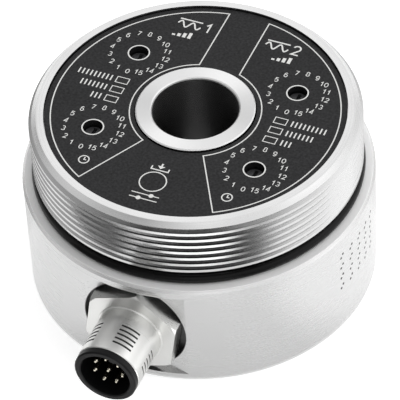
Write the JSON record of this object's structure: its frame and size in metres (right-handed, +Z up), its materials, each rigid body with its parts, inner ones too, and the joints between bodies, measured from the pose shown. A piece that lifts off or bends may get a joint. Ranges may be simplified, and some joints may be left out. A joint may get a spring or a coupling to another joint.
{
  "type": "vibration sensor",
  "caption": "Round steel vibration sensor with a threaded neck, black dial panel round a central screw well, and a screw-in plug connector on its side.",
  "frame": {"origin": "centre of the screw hole on the flat mounting face", "axes": "+Z up along the screw bore towards the panel, -Y along the plug connector, +X to the panel's right"},
  "size_m": [0.064, 0.076, 0.037],
  "materials": {
    "stainless_steel": "fine turned",
    "seal_rubber": "satin",
    "panel_plastic": "matt",
    "panel_foil": "fine satin",
    "switch_plastic": "matt",
    "rotor_plastic": "satin",
    "lamp_resin": "gloss",
    "clear_plastic": "clear",
    "pale_plastic": "matt",
    "circuit_board": "lacquered",
    "chip_resin": "matt",
    "brass": "turned",
    "plated_steel": "plated",
    "lead_insulation": "satin",
    "nickel_plate": "nickel plated",
    "connector_plastic": "satin",
    "gold_plate": "plated"
  },
  "bodies": {
    "sensor": {"housing": "stainless_steel", "cover_seal": "seal_rubber", "front_plate": "panel_plastic", "front_foil": "panel_foil", "switch_body_1": "switch_plastic", "switch_body_2": "switch_plastic", "switch_body_3": "switch_plastic", "switch_body_4": "switch_plastic", "led_1": "lamp_resin", "led_2": "lamp_resin", "led_3": "lamp_resin", "led_4": "lamp_resin", "led_5": "lamp_resin", "led_6": "lamp_resin", "light_guide_left": "clear_plastic", "light_guide_right": "clear_plastic", "button_body": "switch_plastic", "control_board": "circuit_board", "power_board": "circuit_board", "relay_1": "pale_plastic", "relay_2": "pale_plastic", "controller_chip": "chip_resin", "board_link": "chip_resin", "spacer_low_1": "brass", "spacer_low_2": "brass", "spacer_low_3": "brass", "spacer_high_1": "brass", "spacer_high_2": "brass", "spacer_high_3": "brass", "board_screw_1": "plated_steel", "board_screw_2": "plated_steel", "board_screw_3": "plated_steel", "sensor_board": "circuit_board", "accelerometer": "plated_steel", "sensor_leads": "lead_insulation", "connector_shell": "nickel_plate", "connector_insert": "connector_plastic", "contact_pins": "gold_plate", "connector_seal": "seal_rubber", "connector_leads": "lead_insulation"},
    "rotor_1": {"switch_rotor_1": "rotor_plastic"},
    "rotor_2": {"switch_rotor_2": "rotor_plastic"},
    "rotor_3": {"switch_rotor_3": "rotor_plastic"},
    "rotor_4": {"switch_rotor_4": "rotor_plastic"},
    "plunger": {"button_plunger": "pale_plastic"}
  },
  "joints": [
    {"name": "dial_1_turn", "type": "hinge", "parent": "sensor", "child": "rotor_1", "pos_m": [-0.01545, 0.01031, 0.0345], "axis": [0, 0, 1], "continuous": true},
    {"name": "dial_2_turn", "type": "hinge", "parent": "sensor", "child": "rotor_2", "pos_m": [-0.01545, -0.01031, 0.0345], "axis": [0, 0, 1], "continuous": true},
    {"name": "dial_3_turn", "type": "hinge", "parent": "sensor", "child": "rotor_3", "pos_m": [0.01545, 0.01031, 0.0345], "axis": [0, 0, 1], "continuous": true},
    {"name": "dial_4_turn", "type": "hinge", "parent": "sensor", "child": "rotor_4", "pos_m": [0.01545, -0.01031, 0.0345], "axis": [0, 0, 1], "continuous": true},
    {"name": "button_press", "type": "slide", "parent": "sensor", "child": "plunger", "axis": [0, 0, 1], "range_m": [-0.00025, 0], "stiffness_N_per_m": 4000}
  ]
}
